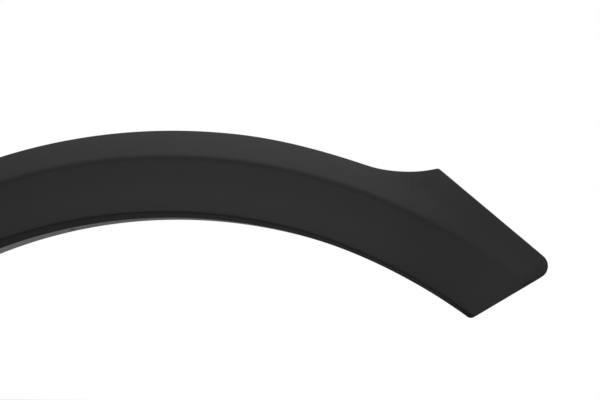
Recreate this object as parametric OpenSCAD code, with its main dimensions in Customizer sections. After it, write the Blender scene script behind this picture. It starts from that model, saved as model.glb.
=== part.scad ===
// Wheel arch trim: one moulded shell that follows the edge of a car's wheel opening,
// with a flared end, held by push-in clips and by screws through its flange.
// X runs along the car, Z up, Y into the car. The body's outer plane is Y = 0.
// The origin is the seat of the clip at the crown of the arch.

/* [Wheel opening] */
// Radius of the rim, the edge nearest the tyre.
rim_r = 380; // [360:1:400]
// How far round from the crown the arch runs, up to its square end.
front_angle = 80; // [77:1:84]

/* [Visible face] */
// Width of the face, from its lower edge up to the crease.
face_w = 40.5; // [36:0.5:46]
// Width of the bevel, from the crease out to the body.
bevel_w = 19; // [16:0.5:24]
// How far the crease stands out from the body.
proud = 16.9; // [15:0.1:19]
// How deep the middle of the face is hollowed.
face_hollow = 0.8; // [0:0.1:1.5]
// Depth of the soft step under the crease.
crease_step = 0.8; // [0:0.1:1.4]
// Width of that step.
crease_w = 2; // [1.5:0.1:4]
// Slope of the bevel next to the crease, from the plane of the body.
bevel_low_tilt = 33; // [28:1:36]
// Slope of the bevel next to the body.
bevel_top_tilt = 40; // [34:1:44]

/* [Lip and flange] */
// How far the lip slopes in towards the tyre.
lip_run = 4; // [3:0.5:6]
// Depth of that sloping lip, from the face back to the rim.
lip_depth = 22; // [18:0.5:24]
// Width of the flange behind the rim.
flange_w = 28; // [24:1:32]
// Draft of the flange over its width.
flange_draft = 1.4; // [0.5:0.1:2]
// Wall thickness of the whole moulding.
wall = 2.6; // [2.2:0.1:3]

/* [Flared end] */
// Angle at which the outer edge leaves its circle.
flare_start = 20; // [19:0.5:20.5]
// How far the outer edge dips in before it leaves the circle.
flare_dip = 1.1; // [0:0.1:2]
// Radius of the hollow curve up to the tip.
flare_radius = 88; // [84:1:110]
// Angle of the tip.
tip_angle = 26; // [25:0.1:26.4]
// Angle of the far corner.
far_angle = 40; // [39:0.1:41]
// Radius of the far corner about the wheel.
far_r = 446; // [440:0.5:452]
// Angle of the lower corner, on the rim.
low_angle = 36.4; // [35.6:0.1:36.8]
// How far the rim drops below its circle towards that corner.
rim_drop = 1.3; // [0:0.1:2.5]
// How far the crease stands out at the very end.
end_proud = 10; // [9.5:0.1:12]
// Slope of the bevel next to the crease at the very end.
end_low_tilt = 12; // [6:1:20]
// Slope of the blade next to its outer edge, from the tip on.
blade_tilt = 4; // [0:1:8]
// Rounding of the tip.
tip_round = 3; // [2:0.5:5]
// Rounding of the far corner.
far_round = 9.5; // [6:0.5:11]
// Rounding of the lower corner.
low_round = 4.5; // [4:0.5:5.5]
// Radius of the body's side in plan, behind the flared end.
plan_r = 2400; // [1800:100:6000]

/* [Clips] */
// Distance of the row of clips above the rim.
clip_row = 24; // [22:0.5:26]
// Angle between two clips along the arch.
clip_pitch = 23; // [22.6:0.1:23.3]
// Angles of the two clips in the flared end.
flare_clips = [20.6, 32];
// Diameter of the hole in the body that a clip goes into.
panel_hole_d = 8.5; // [8:0.1:9]
// Diameter of a clip's neck.
neck_d = 6.9; // [6:0.1:7.2]
// Diameter of a clip's head, held in its tower.
head_d = 13.2; // [12.5:0.1:13.4]
// Thickness of a clip's head.
head_t = 1.8; // [1.4:0.1:2]
// Diameter of a clip's stem between its barbs.
stem_d = 6; // [5:0.1:6.6]
// How far each barb stands out past the edge of its hole.
barb_over = 0.3; // [0.1:0.05:0.5]
// Length of a clip's stem behind the body's outer plane.
stem_l = 16; // [14:0.5:20]
// Diameter of a clip's washer, which lies on the body.
washer_d = 16; // [15:0.5:18]
// Room around a clip's neck in its slot, all told.
slot_play = 0.6; // [0.4:0.1:1]
// Room between a clip's washer and its tower.
washer_play = 0.2; // [0.1:0.05:0.4]

/* [Towers and ribs] */
// Length of a clip tower along the arch.
tower_l = 22; // [20:0.5:26]
// Width of a clip tower across the arch.
tower_w = 18; // [17.8:0.1:19]
// Thickness of a tower's walls.
tower_wall = 1.8; // [1.4:0.1:2]
// Thickness of the plate that a clip's head lies on.
seat_plate = 2.2; // [1.8:0.1:2.4]
// Gap between that plate and the body.
seat_gap = 1.5; // [1.3:0.1:1.8]
// Thickness of the ribs between face and flange.
rib_t = 1.6; // [1.2:0.1:2.2]
// Reach of a rib along the face.
rib_up = 20; // [14:0.5:24]
// Reach of a rib along the flange, behind the body's plane.
rib_down = 20; // [14:0.5:22]

/* [Screws] */
// Diameter of the screw holes in the flange.
screw_d = 5.5; // [4.8:0.1:6.5]
// Diameter of the pad round a screw hole.
pad_d = 13; // [11:0.5:16]
// Height of that pad above the flange's wall.
pad_h = 2; // [1:0.5:3]
// Distance of the screw holes behind the body's plane.
screw_back = 18; // [15:0.5:20]
// Angle of the screw hole in the flared end.
flare_screw = 27; // [25.5:0.1:28]

/* [Hidden] */
arch_steps = 47;
round_steps = 40;

lip_r = rim_r + lip_run;
crease_r = lip_r + face_w;
outer_r = crease_r + bevel_w;
clip_r = rim_r + clip_row;
rim_back = lip_depth - proud;
flange_back = rim_back + flange_w;
shoulder_share = 0.62;
blade_share = 0.45;
arch_clips = [for (i = [0:3]) -i * clip_pitch];
arch_screws = [for (i = [-1:2]) -(i + 0.5) * clip_pitch];
arch_ribs = [for (i = [-0.25:0.5:3.25]) -i * clip_pitch];
flare_ribs = [16.6, 24];

// Up to this angle the section is the same all along, and the body's side is flat.
arch_end = 14;
sweep_from = outer_r * sin(arch_end);

function ease(t) = let (c = min(1, max(0, t))) c * c * (3 - 2 * c);
function between(a, b, t) = a + (b - a) * t;
function unit(v) = v / norm(v);
function left(v) = [-v[1], v[0]];
function polar(r, a) = [r * sin(a), r * cos(a)];

// How far the body's side curves away from its plane at x, and how steeply.
function sweep(x) = pow(max(0, x - sweep_from), 2) / (2 * plan_r);
function sweep_slope(x) = atan(max(0, x - sweep_from) / plan_r);

// Rounds knuckle i of a path with a short curve that takes at most part of each leg.
function soft_knuckle(path, i, cut, n) =
    let (p = path[i], a = path[i - 1] - p, b = path[i + 1] - p,
         c = min(cut, 0.45 * norm(a), 0.45 * norm(b)),
         s = p + unit(a) * c, e = p + unit(b) * c)
    [for (k = [0:n]) let (t = k / n) s * pow(1 - t, 2) + p * 2 * t * (1 - t) + e * t * t];

function soften(path, cuts, steps) =
    [for (i = [0:len(path) - 1])
        each (cuts[i] == 0 ? [path[i]] : soft_knuckle(path, i, cuts[i], steps[i]))];

// A path moved to its left by w, with its corners mitred.
function beside(path, w) =
    let (last = len(path) - 1,
         n = [for (i = [0:last - 1]) left(unit(path[i + 1] - path[i]))])
    [for (i = [0:last])
        i == 0 ? path[0] + n[0] * w :
        i == last ? path[last] + n[last - 1] * w :
        path[i] + (n[i - 1] + n[i]) * w / (1 + n[i - 1] * n[i])];

// Knuckles of the section at an outer angle, as [distance from the wheel's centre,
// distance out from the body], from the outer edge round to the flange's edge.
// The flared end turns the rounded bevel into a flat blade and lets the flange die away.
function blade_part(a) = ease((a - flare_start + 2) / (tip_angle - flare_start + 2));
function end_part(a) = ease((a - tip_angle + 2) / (far_angle - tip_angle - 1));
function flange_part(a) = ease((a - far_angle + 7) / 5.5);
function crease_part(a) = 1 - ease((a - tip_angle) / 10);
function crease_out(a) = between(proud, end_proud, end_part(a));
function face_out(a) = crease_out(a) - (crease_step + face_hollow) * crease_part(a);

function knuckles(a, ro, step) =
    let (blade = blade_part(a), end = end_part(a), gone = flange_part(a),
         fold = crease_part(a), high = crease_out(a),
         low_tilt = between(bevel_low_tilt, end_low_tilt, ease((a - flare_start + 2) / 14)),
         top_tilt = between(bevel_top_tilt, blade_tilt, blade),
         rb = crease_r + (ro - crease_r) * between(shoulder_share, blade_share, blade),
         out_b = high - (rb - crease_r) * tan(low_tilt),
         out_top = out_b - (ro - rb) * tan(top_tilt),
         root = step ? [[crease_r - crease_w, high - crease_step * fold]] : [],
         shift = step ? [0, 0] : [-crease_w, -crease_step * fold] / 2)
    concat([[ro, 0], [ro, out_top], [rb, out_b], [crease_r, high] + shift], root,
        [[(lip_r + crease_r) / 2, face_out(a)], [lip_r, high],
         [rim_r, between(-rim_back, 3, gone)],
         [rim_r - flange_draft * (1 - gone), between(-flange_back, 0, gone)]]);

shoulder_cut = 4.5;
blade_cut = 9;
function outer_path(a, ro) =
    soften(knuckles(a, ro, true),
        [0, 1.2, between(shoulder_cut, blade_cut, blade_part(a)), 1, 0.9, 12, 2.2, 3, 0],
        [0, 2, 3, 1, 1, 3, 3, 2, 0]);
function inner_path(a, ro) =
    soften(beside(knuckles(a, ro, false), wall),
        [0, 0.5, between(shoulder_cut, blade_cut, blade_part(a)), 2, 12, 1.2, 3, 0],
        [0, 1, 2, 1, 2, 1, 2, 0]);
function backwards(list) = [for (i = [len(list) - 1:-1:0]) list[i]];

// Outline of the flared end, in the plane of the wheel opening.
function flare_r(a) =
    let (d = a - flare_start, far = outer_r + flare_radius)
    d <= 0 ? outer_r : far * cos(d) - sqrt(pow(flare_radius, 2) - pow(far * sin(d), 2));
function edge_r(a) =
    flare_r(a) - flare_dip * ease((a - flare_start + 13) / 11) * ease((flare_start + 3.5 - a) / 4.5);
function rim_at(a) = rim_r - rim_drop * ease((a - arch_end) / 18);
function edge_point(a) = polar(edge_r(a), a);
tip = edge_point(tip_angle);
far_corner = polar(far_r, far_angle);
low_corner = polar(rim_at(low_angle), low_angle);
before_tip = edge_point(tip_angle - 0.5);
rim_tangent = low_corner - [low_corner[1], -low_corner[0]];

// Points of a corner at p, rounded by r and then moved in by w, on the way from a to b.
function rounded(p, a, b, r, n, w = 0) =
    let (u = unit(a - p), v = unit(b - p), half = acos(u * v) / 2,
         centre = p + unit(u + v) * r / sin(half), span = 180 - 2 * half,
         s = p + u * r / tan(half) - centre, e = p + v * r / tan(half) - centre,
         k = (1 - w / r) / sin(span))
    [for (i = [0:n]) let (t = span * i / n) centre + (s * sin(span - t) + e * sin(t)) * k];

corner_steps = 6;
tip_points = rounded(tip, before_tip, far_corner, tip_round, 3);
far_points = rounded(far_corner, tip, low_corner, far_round, corner_steps);
low_points = rounded(low_corner, rim_tangent, far_corner, low_round, corner_steps);
flare_angles = [15.5, 17, 18.5, 20, 21, 22, 23, 23.9, 24.7, 25.3];
diagonal_steps = 9;
outer_edge = concat(
    [for (i = [0:arch_steps]) edge_point(between(-front_angle, arch_end, i / arch_steps))],
    [for (a = flare_angles) edge_point(a)],
    tip_points,
    [for (k = [1:diagonal_steps - 1]) between(tip_points[3], far_points[0], k / diagonal_steps)]);
edge_angles = [for (p = outer_edge) atan2(p[0], p[1])];
far_start = atan2(far_points[0][0], far_points[0][1]) - arch_end;
low_start = atan2(low_points[0][0], low_points[0][1]) - arch_end;
inner_edge = [for (a = edge_angles)
    let (b = a < arch_end ? a : arch_end + (a - arch_end) * low_start / far_start)
    polar(rim_at(b), b)];

// The same corners inside the wall, and the ends of the line that carries the inner path.
far_inside = rounded(far_corner, tip, low_corner, far_round, corner_steps, wall);
low_inside = rounded(low_corner, rim_tangent, far_corner, low_round, corner_steps, wall);
function inside_step(k) = (far_inside[k] - low_inside[k]) * wall / (far_r - rim_r - 2 * wall);

// A station is its outer angle, its outer radius, and the lines that carry the two paths.
front_shift = polar(wall, 90 - front_angle);
stations = concat(
    [for (i = [0:len(outer_edge) - 1]) let (d = i == 0 ? front_shift : [0, 0])
        [edge_angles[i], norm(outer_edge[i]), inner_edge[i], outer_edge[i],
         inner_edge[i] + d, outer_edge[i] + d]],
    [for (k = [0:corner_steps])
        [far_angle, far_r, low_points[k], far_points[k],
         low_inside[k] - inside_step(k), far_inside[k] + inside_step(k)]]);

function placed(p, low, high, ro) =
    let (q = between(low, high, (p[0] - rim_r) / (ro - rim_r)))
    [q[0], sweep(q[0]) - p[1], q[1]];
function ring(s) = let (a = max(arch_end, s[0])) concat(
    [for (p = outer_path(a, s[1])) placed(p, s[2], s[3], s[1])],
    [for (p = backwards(inner_path(a, s[1]))) placed(p, s[4], s[5], s[1])]);

// Closes one end of the shell with a wall: outside, inside, and along the body.
function end_wall(base, m, outer_n) = [
    [for (j = [outer_n - 1:-1:0]) base + j],
    [for (j = [m - 1:-1:outer_n]) base + j],
    [base, base + m - 1, base + outer_n, base + outer_n - 1]];

module shell() {
    rings = [for (s = stations) ring(s)];
    m = len(rings[0]);
    n = len(rings);
    outer_n = len(outer_path(arch_end, outer_r));
    sides = [for (i = [0:n - 2], j = [0:m - 1])
        let (a = i * m + j, b = i * m + (j + 1) % m, c = b + m, d = a + m)
        each [[a, c, b], [a, d, c]]];
    polyhedron([for (r = rings) each r], concat(sides,
        [for (f = end_wall(0, m, outer_n)) backwards(f)],
        end_wall((n - 1) * m, m, outer_n)));
}

// Puts its children's X along the arch, Z away from the wheel and Y into the car.
module on_body(a, r) {
    p = polar(r, a);
    translate([p[0], sweep(p[0]), p[1]])
        rotate([0, 0, sweep_slope(p[0])]) rotate([0, a, 0]) children();
}

module clip_tower(depth) {
    difference() {
        translate([-tower_l / 2, -depth, -tower_w / 2])
            cube([tower_l, depth - seat_gap, tower_w]);
        translate([tower_wall - tower_l / 2, -depth - 1, tower_wall - tower_w / 2])
            cube([tower_l, depth + 1 - seat_gap - seat_plate, tower_w - 2 * tower_wall]);
        rotate([90, 0, 0]) cylinder(d = neck_d + slot_play, h = depth, $fn = round_steps);
        translate([0, -depth, -(neck_d + slot_play) / 2])
            cube([tower_l, depth, neck_d + slot_play]);
    }
}

// Outer angle of the station that passes through a place on the clip row.
function station_angle(a) =
    a <= arch_end ? arch_end : arch_end + (a - arch_end) * (far_angle - arch_end)
        / (between(low_angle, far_angle, clip_row / (outer_r - rim_r)) - arch_end);

module towers() {
    for (a = concat(arch_clips, flare_clips))
        on_body(a, clip_r) clip_tower(face_out(station_angle(a)) - wall / 2);
}

module ribs() {
    mid = wall / 2;
    for (a = concat(arch_ribs, flare_ribs)) {
        high = crease_out(station_angle(a));
        translate([0, sweep(polar(clip_r, a)[0]), 0]) rotate([0, a, 0]) rotate([0, -90, 0])
            linear_extrude(rib_t, center = true) polygon([
                [lip_r + mid, mid + face_hollow - high],
                [lip_r + rib_up, mid + face_hollow + crease_step - high],
                [lip_r + rib_up, wall + face_hollow + crease_step + 1 - high],
                [rim_at(a) + wall + 1, rib_down],
                [rim_at(a) + mid, rib_down],
                [rim_at(a) + mid, rim_back]]);
    }
}

module at_screws() {
    for (a = concat(arch_screws, [flare_screw]))
        on_body(a, rim_at(a)) translate([0, screw_back, 0]) children();
}

module trim_moulding() {
    color([0.2, 0.2, 0.2]) translate([0, 0, -clip_r]) difference() {
        union() {
            shell();
            towers();
            ribs();
            at_screws() cylinder(d = pad_d, h = wall + pad_h, $fn = round_steps);
        }
        at_screws() translate([0, 0, -pad_d]) cylinder(d = screw_d, h = 2 * pad_d, $fn = round_steps);
    }
}

// A nylon push-in clip: a head in the tower, a washer on the body, and a barbed stem.
module push_clip() {
    washer_t = seat_gap - washer_play;
    head_y = -(seat_gap + seat_plate);
    edge = head_t / 4;
    barb_r = panel_hole_d / 2 + barb_over;
    pitch = stem_l / 4;
    rotate([-90, 0, 0]) rotate_extrude($fn = round_steps) polygon(concat(
        [[0, head_y - head_t], [head_d / 2 - edge, head_y - head_t],
         [head_d / 2, head_y - head_t + edge], [head_d / 2, head_y], [neck_d / 2, head_y],
         [neck_d / 2, -washer_t], [washer_d / 2 - washer_t, -washer_t],
         [washer_d / 2, -washer_t / 3], [washer_d / 2, 0], [stem_d / 2, 0]],
        [for (i = [0:2])
            each [[stem_d / 2, (i + 0.5) * pitch], [barb_r, (i + 0.65) * pitch],
                  [barb_r, (i + 0.75) * pitch], [stem_d / 2, (i + 1.25) * pitch]]],
        [[stem_d / 2, 3.5 * pitch], [stem_d / 4, stem_l], [0, stem_l]]));
}

module retaining_clips() {
    color([0.9, 0.89, 0.84]) translate([0, 0, -clip_r])
        for (a = concat(arch_clips, flare_clips)) on_body(a, clip_r) push_clip();
}

trim_moulding();
retaining_clips();
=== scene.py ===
"""A wheel arch trim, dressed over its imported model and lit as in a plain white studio.

X runs along the car, Z up and Y into the car. The origin is the seat of the clip at
the crown of the arch. In the sections on the moulding, lengths are millimetres and
angles are degrees back from the crown. Lights and the camera are placed in metres.
"""
import math

import bmesh
import bpy
from mathutils import Matrix, Vector


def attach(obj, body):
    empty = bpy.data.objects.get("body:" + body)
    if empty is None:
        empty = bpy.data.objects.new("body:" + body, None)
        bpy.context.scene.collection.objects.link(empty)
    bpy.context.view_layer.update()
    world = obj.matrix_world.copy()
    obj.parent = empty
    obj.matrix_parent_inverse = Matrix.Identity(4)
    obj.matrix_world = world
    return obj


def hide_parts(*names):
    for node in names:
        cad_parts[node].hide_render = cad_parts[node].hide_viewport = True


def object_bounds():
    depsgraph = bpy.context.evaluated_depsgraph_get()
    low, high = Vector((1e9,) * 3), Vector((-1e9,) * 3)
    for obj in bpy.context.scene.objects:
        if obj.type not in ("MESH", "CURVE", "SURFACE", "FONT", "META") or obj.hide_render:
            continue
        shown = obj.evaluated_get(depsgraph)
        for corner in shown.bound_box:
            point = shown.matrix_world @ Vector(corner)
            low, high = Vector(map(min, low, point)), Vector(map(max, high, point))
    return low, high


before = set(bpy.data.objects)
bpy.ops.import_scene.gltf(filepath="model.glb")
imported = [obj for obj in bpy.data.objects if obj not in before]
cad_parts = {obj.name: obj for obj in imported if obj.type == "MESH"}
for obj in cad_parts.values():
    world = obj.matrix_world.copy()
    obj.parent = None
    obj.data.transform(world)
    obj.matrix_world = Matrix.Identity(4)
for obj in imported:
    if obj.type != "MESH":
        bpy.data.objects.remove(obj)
cad_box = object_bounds()

# --- The moulded shell -------------------------------------------------------------
# The trim is one injection moulding in black polypropylene: a hollowed face, a soft
# crease and a bevel that stands off the body, a lip and a flange that turn in behind
# the tyre, and a flared end where the bevel opens into a flat blade.
MM = 0.001

# The section of the arch, from the rim at the wheel opening to the outer edge.
RIM_R = 380.0
LIP_RUN, LIP_DEPTH = 4.0, 22.0
FACE_W, BEVEL_W = 40.5, 19.0
PROUD = 16.9
FLANGE_W, FLANGE_DRAFT = 28.0, 1.4
WALL = 2.6
CREASE_W, CREASE_STEP, FACE_HOLLOW = 3.6, 0.8, 0.8
LOW_TILT, TOP_TILT = 33.0, 40.0
SHOULDER_SHARE, SHOULDER_CUT = 0.62, 4.5
# The skin's lip and rim stand this much nearer the wheel than in the CAD model.
LIP_IN, RIM_IN = 1.7, 0.8

# The arch, the flared end's outline, and its section at the blade and at the end.
FRONT_ANGLE, ARCH_END = 80.0, 14.0
FLARE_START, FLARE_RADIUS, FLARE_DIP = 20.0, 88.0, 1.1
TIP_ANGLE, TIP_ROUND = 26.0, 3.0
FAR_ANGLE, FAR_R, FAR_ROUND = 40.0, 446.0, 9.5
LOW_ANGLE, LOW_ROUND, RIM_DROP = 36.4, 4.5, 1.3
BLADE_TILT, BLADE_SHARE, BLADE_CUT = 4.0, 0.45, 9.0
END_PROUD, END_LOW_TILT, END_RIM_OUT = 10.0, 12.0, 3.0
PLAN_R = 2400.0
CLIP_ROW = 24.0

# Where each change along the flared end starts, and over how many degrees it goes on.
BLADE_FROM, BLADE_FADE = FLARE_START - 2, TIP_ANGLE - FLARE_START + 2
TILT_FADE = 14.0
END_FROM, END_FADE = TIP_ANGLE - 2, FAR_ANGLE - TIP_ANGLE - 1
CREASE_FADE = 10.0
FLANGE_GONE_FROM, FLANGE_FADE = FAR_ANGLE - 7, 5.5
RIM_FADE = 18.0
DIP_FROM, DIP_FADE_IN = FLARE_START - 13, 11.0
DIP_TO, DIP_FADE_OUT = FLARE_START + 3.5, 4.5

# How far each knuckle of the section is rounded along its two sides, and in how many
# steps. The first and last points stay as they are, and the shoulder's cut changes.
EDGE_ROUND, CREASE_CUT, HOLLOW_CUT, LIP_CUT, RIM_CUT = 1.2, 1.6, 12.0, 2.2, 3.0
BACK_EDGE_CUT, BACK_CREASE_CUT, BACK_LIP_CUT = 0.5, 2.0, 1.2
MOST_CUT = 0.45
SKIN_STEPS = (0, 5, 8, 3, 3, 6, 6, 5, 0)
BACK_STEPS = (0, 2, 6, 3, 6, 3, 4, 0)
LIP_KNUCKLE, RIM_KNUCKLE = 6, 7

# Steps along the trim.
ARCH_STEPS, FLARE_STEPS, FLARE_STEP = 150, 32, 0.35
TIP_STEPS, DIAGONAL_STEPS, CORNER_STEPS, ROUND_STEPS = 8, 30, 14, 5
BEFORE_TIP = 0.5

LIP_R = RIM_R + LIP_RUN
CREASE_R = LIP_R + FACE_W
OUTER_R = CREASE_R + BEVEL_W
CLIP_R = RIM_R + CLIP_ROW
RIM_BACK = LIP_DEPTH - PROUD
FLANGE_BACK = RIM_BACK + FLANGE_W


def ease(t):
    t = min(1.0, max(0.0, t))
    return t * t * (3 - 2 * t)


def between(a, b, t):
    return a + (b - a) * t


def polar(r, degrees):
    a = math.radians(degrees)
    return Vector((r * math.sin(a), r * math.cos(a)))


def tangent(degrees):
    return math.tan(math.radians(degrees))


SWEEP_FROM = polar(OUTER_R, ARCH_END)[0]


def sweep(x):
    """How far the side of the body curves away from its plane at x."""
    return max(0.0, x - SWEEP_FROM) ** 2 / (2 * PLAN_R)


def rounded_path(path, cuts, steps):
    """The path with each knuckle rounded by a short curve."""
    out = []
    for i, p in enumerate(path):
        if not cuts[i]:
            out.append(p)
            continue
        a, b = path[i - 1] - p, path[i + 1] - p
        cut = min(cuts[i], MOST_CUT * a.length, MOST_CUT * b.length)
        start, end = p + a.normalized() * cut, p + b.normalized() * cut
        for k in range(steps[i] + 1):
            t = k / steps[i]
            out.append(start * (1 - t) ** 2 + p * (2 * t * (1 - t)) + end * t * t)
    return out


def beside(path, width):
    """The path moved to its left by width, with mitred corners."""
    sides = []
    for a, b in zip(path, path[1:]):
        d = (b - a).normalized()
        sides.append(Vector((-d[1], d[0])))
    out = [path[0] + sides[0] * width]
    for i in range(1, len(path) - 1):
        m, n = sides[i - 1], sides[i]
        out.append(path[i] + (m + n) * (width / (1 + m.dot(n))))
    return out + [path[-1] + sides[-1] * width]


def proud_at(a):
    """How far the crease stands off the body's plane at an outer angle."""
    return between(PROUD, END_PROUD, ease((a - END_FROM) / END_FADE))


def fold_at(a):
    """The share of the crease's step and of the face's hollow that is left."""
    return 1 - ease((a - TIP_ANGLE) / CREASE_FADE)


def knuckles(a, outer, skin):
    """The section at an outer angle, from the outer edge round to the flange's edge.

    Each point is a radius and a distance out from the body's plane. The skin has the
    crease's step and its own lip and rim. The back has one knuckle at the crease.
    """
    blade = ease((a - BLADE_FROM) / BLADE_FADE)
    gone = ease((a - FLANGE_GONE_FROM) / FLANGE_FADE)
    high, fold = proud_at(a), fold_at(a)
    low_tilt = between(LOW_TILT, END_LOW_TILT, ease((a - BLADE_FROM) / TILT_FADE))
    top_tilt = between(TOP_TILT, BLADE_TILT, blade)
    shoulder = CREASE_R + (outer - CREASE_R) * between(SHOULDER_SHARE, BLADE_SHARE, blade)
    shoulder_out = high - (shoulder - CREASE_R) * tangent(low_tilt)
    top_out = shoulder_out - (outer - shoulder) * tangent(top_tilt)
    points = [(outer, 0), (outer, top_out), (shoulder, shoulder_out)]
    if skin:
        points += [(CREASE_R, high), (CREASE_R - CREASE_W, high - CREASE_STEP * fold)]
    else:
        points.append((CREASE_R - CREASE_W / 2, high - CREASE_STEP * fold / 2))
    lip_r, rim_r = (LIP_R - LIP_IN, RIM_R - RIM_IN) if skin else (LIP_R, RIM_R)
    points += [((LIP_R + CREASE_R) / 2, high - (CREASE_STEP + FACE_HOLLOW) * fold),
               (lip_r, high), (rim_r, between(-RIM_BACK, END_RIM_OUT, gone)),
               (RIM_R - FLANGE_DRAFT * (1 - gone), between(-FLANGE_BACK, 0, gone))]
    return [Vector(p) for p in points], between(SHOULDER_CUT, BLADE_CUT, blade)


def outer_path(a, outer, inset):
    points, cut = knuckles(a, outer, skin=True)
    cuts = (0, EDGE_ROUND, cut, CREASE_CUT, CREASE_CUT, HOLLOW_CUT, LIP_CUT, RIM_CUT, 0)
    return rounded_path(beside(points, inset), cuts, SKIN_STEPS)


def inner_path(a, outer):
    points, cut = knuckles(a, outer, skin=False)
    cuts = (0, BACK_EDGE_CUT, cut, BACK_CREASE_CUT, HOLLOW_CUT, BACK_LIP_CUT, RIM_CUT, 0)
    return rounded_path(beside(points, WALL), cuts, BACK_STEPS)


def flare_r(a):
    """Radius of the outer edge, along its circle and then up the hollow curve."""
    d = math.radians(a - FLARE_START)
    if d <= 0:
        return OUTER_R
    far = OUTER_R + FLARE_RADIUS
    return far * math.cos(d) - math.sqrt(FLARE_RADIUS ** 2 - (far * math.sin(d)) ** 2)


def edge_point(a):
    """The outer edge dips in a little before it leaves its circle."""
    dip = ease((a - DIP_FROM) / DIP_FADE_IN) * ease((DIP_TO - a) / DIP_FADE_OUT)
    return polar(flare_r(a) - FLARE_DIP * dip, a)


def rim_at(a):
    return RIM_R - RIM_DROP * ease((a - ARCH_END) / RIM_FADE)


def corner(p, a, b, radius, steps, inset=0.0):
    """Points round a corner at p on the way from a to b, moved in by inset."""
    u, v = (a - p).normalized(), (b - p).normalized()
    half = math.acos(u.dot(v)) / 2
    centre = p + (u + v).normalized() * (radius / math.sin(half))
    start = p + u * (radius / math.tan(half)) - centre
    end = p + v * (radius / math.tan(half)) - centre
    span = math.pi - 2 * half
    keep = (1 - inset / radius) / math.sin(span)
    return [centre + (start * math.sin(span - t) + end * math.sin(t)) * keep
            for t in (span * k / steps for k in range(steps + 1))]


def angle_of(p):
    return math.degrees(math.atan2(p[0], p[1]))


tip, before_tip = edge_point(TIP_ANGLE), edge_point(TIP_ANGLE - BEFORE_TIP)
far_corner, low_corner = polar(FAR_R, FAR_ANGLE), polar(rim_at(LOW_ANGLE), LOW_ANGLE)
before_low = low_corner - Vector((low_corner[1], -low_corner[0]))
tip_points = corner(tip, before_tip, far_corner, TIP_ROUND, TIP_STEPS)
far_points, far_inside = (
    corner(far_corner, tip, low_corner, FAR_ROUND, CORNER_STEPS, inset)
    for inset in (0.0, WALL))
low_points, low_inside = (
    corner(low_corner, before_low, far_corner, LOW_ROUND, CORNER_STEPS, inset)
    for inset in (0.0, WALL))

edge = [edge_point(between(-FRONT_ANGLE, ARCH_END, i / ARCH_STEPS))
        for i in range(ARCH_STEPS + 1)]
edge += [edge_point(ARCH_END + FLARE_STEP * i) for i in range(1, FLARE_STEPS + 1)]
edge += tip_points
edge += [tip_points[-1].lerp(far_points[0], k / DIAGONAL_STEPS)
         for k in range(1, DIAGONAL_STEPS)]
far_start = angle_of(far_points[0]) - ARCH_END
low_start = angle_of(low_points[0]) - ARCH_END


def end_rounding(along, steps):
    """The skin's inset and its shift along the trim at each step round an end's edge."""
    for k in steps:
        t = math.radians(90 * k / ROUND_STEPS)
        yield EDGE_ROUND * (1 - math.cos(t)), along * (EDGE_ROUND * (1 - math.sin(t)))


# Each station: outer angle, outer radius, inset of its skin, and the two lines, low
# end and high end, that carry its outer and its inner path.
stations = []
front_along = polar(1.0, 90 - FRONT_ANGLE)
for i, high in enumerate(edge):
    a = angle_of(high)
    b = a if a < ARCH_END else ARCH_END + (a - ARCH_END) * low_start / far_start
    low = polar(rim_at(b), b)
    if i > 0:
        stations.append((a, high.length, 0.0, (low, high), (low, high)))
        continue
    inside = (low + front_along * WALL, high + front_along * WALL)
    for inset, d in end_rounding(front_along, range(ROUND_STEPS, 0, -1)):
        stations.append((a, OUTER_R, inset, (low + d, high + d), inside))
end_along = (far_corner - low_corner).normalized()
end_inward = Vector((-end_along[1], end_along[0]))
for k in range(CORNER_STEPS + 1):
    slope = (far_inside[k] - low_inside[k]) * (WALL / (FAR_R - RIM_R - 2 * WALL))
    inside = (low_inside[k] - slope, far_inside[k] + slope)
    if k < CORNER_STEPS:
        stations.append((FAR_ANGLE, FAR_R, 0.0, (low_points[k], far_points[k]), inside))
        continue
    for inset, d in end_rounding(end_inward, range(1, ROUND_STEPS + 1)):
        stations.append((FAR_ANGLE, FAR_R, inset, (low_points[k] + d, far_points[k] + d),
                         inside))


def placed(p, line, outer):
    """A point of the section, in metres, on the line that carries its path."""
    q = line[0].lerp(line[1], (p[0] - RIM_R) / (outer - RIM_R))
    return Vector((q[0], sweep(q[0]) - p[1], q[1] - CLIP_R)) * MM


def ring(station):
    a, outer, inset, skin, inside = station
    a = max(ARCH_END, a)
    front = [placed(p, skin, outer) for p in outer_path(a, outer, inset)]
    back = [placed(p, inside, outer) for p in reversed(inner_path(a, outer))]
    return front, back


# The faces that show carry a fine spark-eroded grain, matte black with a trace of green.
# The lip that turns in below them is coloured darker, which is painted shade: the shade
# that falls on it as it faces down. The flange's wheel side and the back come off plain
# steel, so they are smoother.
CLOUD_SCALE, CLOUD_DETAIL = 14, 3
BUMP_STRENGTH, ROUGH_SPREAD, TINT_SPREAD = 0.5, 0.05, 0.08


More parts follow.
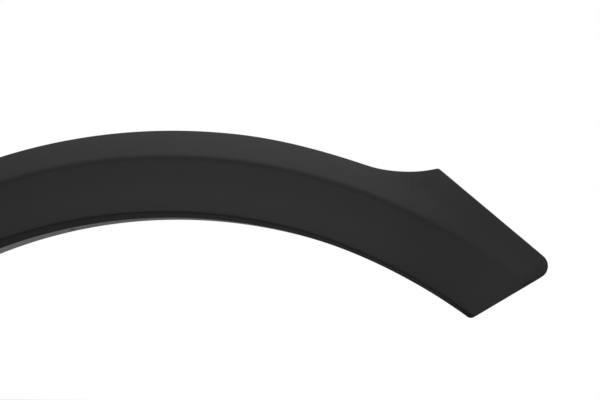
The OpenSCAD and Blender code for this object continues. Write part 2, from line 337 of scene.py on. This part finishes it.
def plastic(name, colour, roughness, specular, grain, depth):
    """A plastic with a grain of that size and depth in mm, faintly clouded all over."""
    material = bpy.data.materials.new(name)
    material.use_nodes = True
    nodes, links = material.node_tree.nodes, material.node_tree.links
    shader = nodes["Principled BSDF"]
    shader.inputs["Specular IOR Level"].default_value = specular
    place = nodes.new("ShaderNodeTexCoord")
    fine = nodes.new("ShaderNodeTexVoronoi")
    fine.feature = "SMOOTH_F1"
    fine.inputs["Scale"].default_value = 1 / (grain * MM)
    broad = nodes.new("ShaderNodeTexNoise")
    broad.inputs["Scale"].default_value = CLOUD_SCALE
    broad.inputs["Detail"].default_value = CLOUD_DETAIL
    links.new(place.outputs["Object"], fine.inputs["Vector"])
    links.new(place.outputs["Object"], broad.inputs["Vector"])
    bump = nodes.new("ShaderNodeBump")
    bump.inputs["Strength"].default_value = BUMP_STRENGTH
    bump.inputs["Distance"].default_value = depth * MM
    links.new(fine.outputs["Distance"], bump.inputs["Height"])
    links.new(bump.outputs["Normal"], shader.inputs["Normal"])
    rough = nodes.new("ShaderNodeMapRange")
    rough.inputs["To Min"].default_value = roughness - ROUGH_SPREAD
    rough.inputs["To Max"].default_value = roughness + ROUGH_SPREAD
    links.new(broad.outputs["Fac"], rough.inputs["Value"])
    links.new(rough.outputs["Result"], shader.inputs["Roughness"])
    tint = nodes.new("ShaderNodeMix")
    tint.data_type = "RGBA"
    tint.inputs["A"].default_value = [c * (1 - TINT_SPREAD) for c in colour] + [1]
    tint.inputs["B"].default_value = [c * (1 + TINT_SPREAD) for c in colour] + [1]
    links.new(broad.outputs["Fac"], tint.inputs["Factor"])
    links.new(tint.outputs["Result"], shader.inputs["Base Color"])
    return material


FINISHES_AND_PAINTED_SHADE = (
    plastic("moulded_black_grained", (0.0255, 0.0266, 0.0260),
            roughness=0.80, specular=0.12, grain=0.55, depth=0.03),
    plastic("moulded_black_smooth", (0.0320, 0.0328, 0.0326),
            roughness=0.30, specular=0.38, grain=0.9, depth=0.003),
    # The lip's darker colour is painted shade, for the shade on the lip where it faces down.
    plastic("moulded_black_lip_painted_shade", (0.0148, 0.0154, 0.0151),
            roughness=0.80, specular=0.10, grain=0.55, depth=0.03))
GRAINED, SMOOTH, LIP_PAINTED_SHADE = range(3)


def mesh_object(name, points, faces):
    mesh = bpy.data.meshes.new(name)
    mesh.from_pydata(points, [], faces)
    mesh.update()
    obj = bpy.data.objects.new(name, mesh)
    bpy.context.scene.collection.objects.link(obj)
    return obj


def black_plastic(obj, finishes_and_painted_shade):
    """Gives a part of the moulding its finishes and the lip's painted shade, one number to a
    face.
    """
    for surface_material in FINISHES_AND_PAINTED_SHADE:
        obj.data.materials.append(surface_material)
    obj.data.polygons.foreach_set("material_index", finishes_and_painted_shade)


def middle_of(knuckle):
    """The number, in a ring, of the point half way round a knuckle of the skin."""
    before = sum(steps + 1 for steps in SKIN_STEPS[:knuckle])
    return before + (SKIN_STEPS[knuckle] + 1) // 2


def finish_and_painted_shade_after(point):
    """The finish of the strip that follows a point of a ring, or the lip's painted shade."""
    if point < middle_of(LIP_KNUCKLE):
        return GRAINED
    return LIP_PAINTED_SHADE if point < middle_of(RIM_KNUCKLE) else SMOOTH


points, faces, finishes_and_painted_shade = [], [], []
for station in stations:
    front, back = ring(station)
    front_n, ring_n = len(front), len(front) + len(back)
    points += front + back
for i in range(len(stations) - 1):
    for j in range(ring_n):
        a, b = i * ring_n + j, i * ring_n + (j + 1) % ring_n
        faces.append((a, b, b + ring_n, a + ring_n))
        finishes_and_painted_shade.append(finish_and_painted_shade_after(j))
# Each end is closed by the section of its skin, of its hollow, and of the back edge.
last = (len(stations) - 1) * ring_n
for base, turn in ((0, -1), (last, 1)):
    faces.append([base + j for j in range(front_n)][::turn])
    faces.append([base + j for j in range(front_n, ring_n)][::turn])
    faces.append([base + front_n - 1, base + front_n, base + ring_n - 1, base][::turn])
    finishes_and_painted_shade += [GRAINED, SMOOTH, SMOOTH]
moulding = mesh_object("arch_moulding", points, faces)
black_plastic(moulding, finishes_and_painted_shade)

# --- Towers, ribs and screw pads -----------------------------------------------------
# Behind the face the same moulding carries a box-shaped tower for each clip, with a
# keyhole slot in its seat, thin ribs that brace the face to the flange, and round pads
# with drilled holes for the screws. Clips stand at every pitch of the arch, screws half
# way between them, and ribs at each quarter beside them.
PITCH = 23.0
CLIP_ANGLES = [-i * PITCH for i in range(4)] + [20.6, 32.0]
SCREW_ANGLES = [-(i + 0.5) * PITCH for i in range(-1, 3)] + [27.0]
RIB_ANGLES = [0.25 * PITCH - 0.5 * i * PITCH for i in range(8)] + [16.6, 24.0]
TOWER_L, TOWER_W, TOWER_WALL = 22.0, 18.0, 1.8
SEAT_PLATE, SEAT_GAP, SEAT_OVERLAP = 2.2, 1.5, 0.4
SLOT_R, SLOT_STEPS = 3.75, 16
RIB_T, RIB_UP, RIB_DOWN, RIB_EDGE = 1.6, 20.0, 20.0, 1.0
SOFT_EDGE, SOFT_ABOVE = 0.35, 40.0
PAD_R, PAD_H, PAD_STEPS = 6.5, 4.6, 48
SCREW_R, SCREW_BACK, SCREW_STEPS = 2.75, 18.0, 40
DRILL_FROM, DRILL_TO = -10.0, 20.0
TOUCHING = 0.001
SHARP_ABOVE = 38.0


def on_body(degrees, radius):
    """Local X along the arch, Z away from the wheel, Y into the car."""
    p = polar(radius, degrees)
    slope = math.atan(max(0.0, p[0] - SWEEP_FROM) / PLAN_R)
    return (Matrix.Translation(Vector((p[0], sweep(p[0]), p[1] - CLIP_R)))
            @ Matrix.Rotation(slope, 4, "Z") @ Matrix.Rotation(math.radians(degrees), 4, "Y"))


def outer_angle(degrees):
    """The outer angle of the station that passes the clip row at this angle."""
    if degrees <= ARCH_END:
        return ARCH_END
    across = between(LOW_ANGLE, FAR_ANGLE, CLIP_ROW / (OUTER_R - RIM_R))
    return ARCH_END + (degrees - ARCH_END) * (FAR_ANGLE - ARCH_END) / (across - ARCH_END)


def face_out(degrees):
    """How far the crease and the hollow of the face stand off the body's plane."""
    a = outer_angle(degrees)
    high = proud_at(a)
    return high, high - (CREASE_STEP + FACE_HOLLOW) * fold_at(a)


def closed_between(first, second):
    """The points and faces of a closed part between two outlines of as many points."""
    n = len(first)
    sides = [(i, (i + 1) % n, (i + 1) % n + n, i + n) for i in range(n)]
    return first + second, [tuple(range(n))[::-1], tuple(range(n, 2 * n))] + sides


def prism(outline, low, high, place):
    """A closed prism on an outline in local X and Z, from low to high along local Y."""
    return closed_between(*([place @ Vector((x, y, z)) * MM for x, z in outline]
                            for y in (low, high)))


def solid(name, part, soften=0.0):
    """One object out of a closed part, turned outward, with its edges softened."""
    pts, polygons = part
    bm = bmesh.new()
    verts = [bm.verts.new(p) for p in pts]
    for polygon in polygons:
        bm.faces.new([verts[i] for i in polygon])
    bmesh.ops.recalc_face_normals(bm, faces=bm.faces)
    if soften:
        sharp = [e for e in bm.edges if e.calc_face_angle(0) > math.radians(SOFT_ABOVE)]
        bmesh.ops.bevel(bm, geom=sharp, offset=soften * MM, segments=2, affect="EDGES",
                        profile=0.5, clamp_overlap=True)
    mesh = bpy.data.meshes.new(name)
    bm.to_mesh(mesh)
    bm.free()
    obj = bpy.data.objects.new(name, mesh)
    bpy.context.scene.collection.objects.link(obj)
    black_plastic(obj, [SMOOTH] * len(mesh.polygons))
    return obj


def combine(target, tool, operation):
    """Joins the tool to the target, or cuts it away, and removes the tool."""
    mod = target.modifiers.new("combine", "BOOLEAN")
    mod.object, mod.operation, mod.solver = tool, operation, "MANIFOLD"
    graph = bpy.context.evaluated_depsgraph_get()
    mesh = bpy.data.meshes.new_from_object(target.evaluated_get(graph))
    target.modifiers.clear()
    old, target.data = target.data, mesh
    bpy.data.meshes.remove(old)
    bpy.data.objects.remove(tool, do_unlink=True)


def arc(radius, n, turn, span):
    """Points at n equal steps round a part of a circle, its ends included."""
    return [(radius * math.cos(math.radians(turn + span * i / n)),
             radius * math.sin(math.radians(turn + span * i / n))) for i in range(n + 1)]


def circle(radius, n):
    return arc(radius, n, 0.0, 360.0)[:-1]


for angle in CLIP_ANGLES:
    place = on_body(angle, CLIP_R)
    depth = face_out(angle)[1] - WALL / 2
    x, z, w = TOWER_L / 2, TOWER_W / 2, TOWER_WALL
    walls = [(x, z), (-x, z), (-x, -z), (x, -z), (x, w - z), (w - x, w - z), (w - x, z - w),
             (x, z - w)]
    seat = [(x, z), (-x, z), (-x, -z), (x, -z), (x, -SLOT_R)]
    seat += arc(SLOT_R, SLOT_STEPS, -90, -180) + [(x, SLOT_R)]
    top = -SEAT_GAP - SEAT_PLATE
    tower = solid("tower", prism(walls, -depth, top + SEAT_OVERLAP, place))
    combine(tower, solid("seat", prism(seat, top, -SEAT_GAP, place)), "UNION")
    combine(moulding, tower, "UNION")

for angle in RIB_ANGLES:
    high, _ = face_out(angle)
    shift = sweep(polar(CLIP_R, angle)[0])
    place = (Matrix.Translation(Vector((0, shift, -CLIP_R)))
             @ Matrix.Rotation(math.radians(angle), 4, "Y"))
    mid, root, rim = WALL / 2, FACE_HOLLOW + CREASE_STEP, rim_at(angle)
    outline = [(LIP_R + mid, mid + FACE_HOLLOW - high), (LIP_R + RIB_UP, mid + root - high),
               (LIP_R + RIB_UP, WALL + root + RIB_EDGE - high),
               (rim + WALL + RIB_EDGE, RIB_DOWN), (rim + mid, RIB_DOWN),
               (rim + mid, RIM_BACK)]
    rib = closed_between(*([place @ Vector((x, y, r)) * MM for r, y in outline]
                           for x in (-RIB_T / 2, RIB_T / 2)))
    combine(moulding, solid("rib", rib, SOFT_EDGE), "UNION")

for angle in SCREW_ANGLES:
    place = on_body(angle, rim_at(angle)) @ Matrix.Translation((0, SCREW_BACK, 0))
    place = place @ Matrix.Rotation(math.radians(90), 4, "X")
    pad = prism(circle(PAD_R, PAD_STEPS), WALL / 2, PAD_H, place)
    drill = prism(circle(SCREW_R, SCREW_STEPS), DRILL_FROM, DRILL_TO, place)
    combine(moulding, solid("pad", pad), "UNION")
    combine(moulding, solid("drill", drill), "DIFFERENCE")

# Points that fall together are joined, so that no face without area stays.
bm = bmesh.new()
bm.from_mesh(moulding.data)
bmesh.ops.remove_doubles(bm, verts=bm.verts, dist=TOUCHING * MM)
bmesh.ops.dissolve_degenerate(bm, edges=bm.edges, dist=TOUCHING * MM)
bm.to_mesh(moulding.data)
bm.free()
moulding.data.polygons.foreach_set("use_smooth", [True] * len(moulding.data.polygons))
moulding.data.set_sharp_from_angle(angle=math.radians(SHARP_ABOVE))
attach(moulding, "root")
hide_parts("trim_moulding")

# --- The clips -----------------------------------------------------------------------
# Push-in clips of natural nylon, one to a tower: a head held in the tower's slot, a
# washer that lies on the body, and a barbed stem that is pushed into the body's hole.
# They are the CAD model's own, with a material.
NYLON = plastic("clip_nylon", (0.60, 0.57, 0.48),
                roughness=0.42, specular=0.45, grain=1.6, depth=0.01)
clips = bpy.data.objects["retaining_clips"]
clips.data.materials.clear()
clips.data.materials.append(NYLON)

# --- Floor, light and camera ----------------------------------------------------------
# A pale floor below the trim, in a white room. The floor ends where the photograph's
# view would first look down on it, so that the ground is plain white there. It glows for
# the camera only, and the room is brighter to the camera than to the trim.
FLOOR_DROP, FLOOR_HALF = 0.03, 3.8
PAPER_GREY, PAPER_ROUGH, PAPER_GLOW = 0.62, 0.9, 0.66
ROOM_LIGHT, ROOM_SEEN = 0.2, 1.0

low = cad_box[0][2]
floor = mesh_object("floor", [(x, y, low - FLOOR_DROP) for x, y in (
    (-FLOOR_HALF, -FLOOR_HALF), (FLOOR_HALF, -FLOOR_HALF), (FLOOR_HALF, FLOOR_HALF),
    (-FLOOR_HALF, FLOOR_HALF))], [(0, 1, 2, 3)])
paper = bpy.data.materials.new("floor_paper")
paper.use_nodes = True
nodes, links = paper.node_tree.nodes, paper.node_tree.links
shader = nodes["Principled BSDF"]
shader.inputs["Base Color"].default_value = (PAPER_GREY, PAPER_GREY, PAPER_GREY, 1)
shader.inputs["Roughness"].default_value = PAPER_ROUGH
shader.inputs["Emission Color"].default_value = (1, 1, 1, 1)
eye = nodes.new("ShaderNodeLightPath")
lift = nodes.new("ShaderNodeMath")
lift.operation = "MULTIPLY"
lift.inputs[1].default_value = PAPER_GLOW
links.new(eye.outputs["Is Camera Ray"], lift.inputs[0])
links.new(lift.outputs["Value"], shader.inputs["Emission Strength"])
floor.data.materials.append(paper)

world = bpy.data.worlds.new("white_room")
bpy.context.scene.world = world
world.use_nodes = True
nodes, links = world.node_tree.nodes, world.node_tree.links
background = nodes["Background"]
rays = nodes.new("ShaderNodeLightPath")
seen = nodes.new("ShaderNodeMath")
seen.operation = "MAXIMUM"
links.new(rays.outputs["Is Camera Ray"], seen.inputs[0])
links.new(rays.outputs["Is Transmission Ray"], seen.inputs[1])
level = nodes.new("ShaderNodeMapRange")
level.inputs["To Min"].default_value = ROOM_LIGHT
level.inputs["To Max"].default_value = ROOM_SEEN
links.new(seen.outputs["Value"], level.inputs["Value"])
links.new(level.outputs["Result"], background.inputs["Strength"])
background.inputs["Color"].default_value = (1, 1, 1, 1)


def softbox(name, size, watts, place, target):
    lamp = bpy.data.lights.new(name, "AREA")
    lamp.shape, lamp.size, lamp.size_y, lamp.energy = "RECTANGLE", size[0], size[1], watts
    obj = bpy.data.objects.new(name, lamp)
    obj.location = place
    aim = Vector(target) - Vector(place)
    obj.rotation_euler = aim.to_track_quat("-Z", "Y").to_euler()
    bpy.context.scene.collection.objects.link(obj)


# One lamp close above for the bevel, a broad one in front for the face, and one behind
# that lights the floor, which the flange's wheel side mirrors.
softbox("top_softbox", size=(0.5, 0.4), watts=5.6,
        place=(0.13, -0.30, 0.6), target=(0.12, 0.0, 0.0))
softbox("front_softbox", size=(1.2, 1.2), watts=5.8,
        place=(0.3, -1.8, 0.5), target=(0.0, 0.0, -0.05))
softbox("back_softbox", size=(1.6, 1.0), watts=9,
        place=(-0.1, 0.95, 1.0), target=(-0.1, 0.0, -0.15))

# The camera stands to the right of the crown, below it, and looks up and to the left.
camera = bpy.data.cameras.new("camera")
camera.sensor_width = 36.0
camera.lens = 124.0
camera.clip_end = 50
view = bpy.data.objects.new("camera", camera)
view.location = (0.3104, -1.5, -0.0776)
yaw, pitch = math.radians(8), 0.043
forward = Vector((-math.sin(yaw) * math.cos(pitch), math.cos(yaw) * math.cos(pitch),
                  math.sin(pitch)))
view.rotation_euler = forward.to_track_quat("-Z", "Y").to_euler()
bpy.context.scene.collection.objects.link(view)
bpy.context.scene.camera = view
bpy.context.scene.view_settings.view_transform = "Standard"
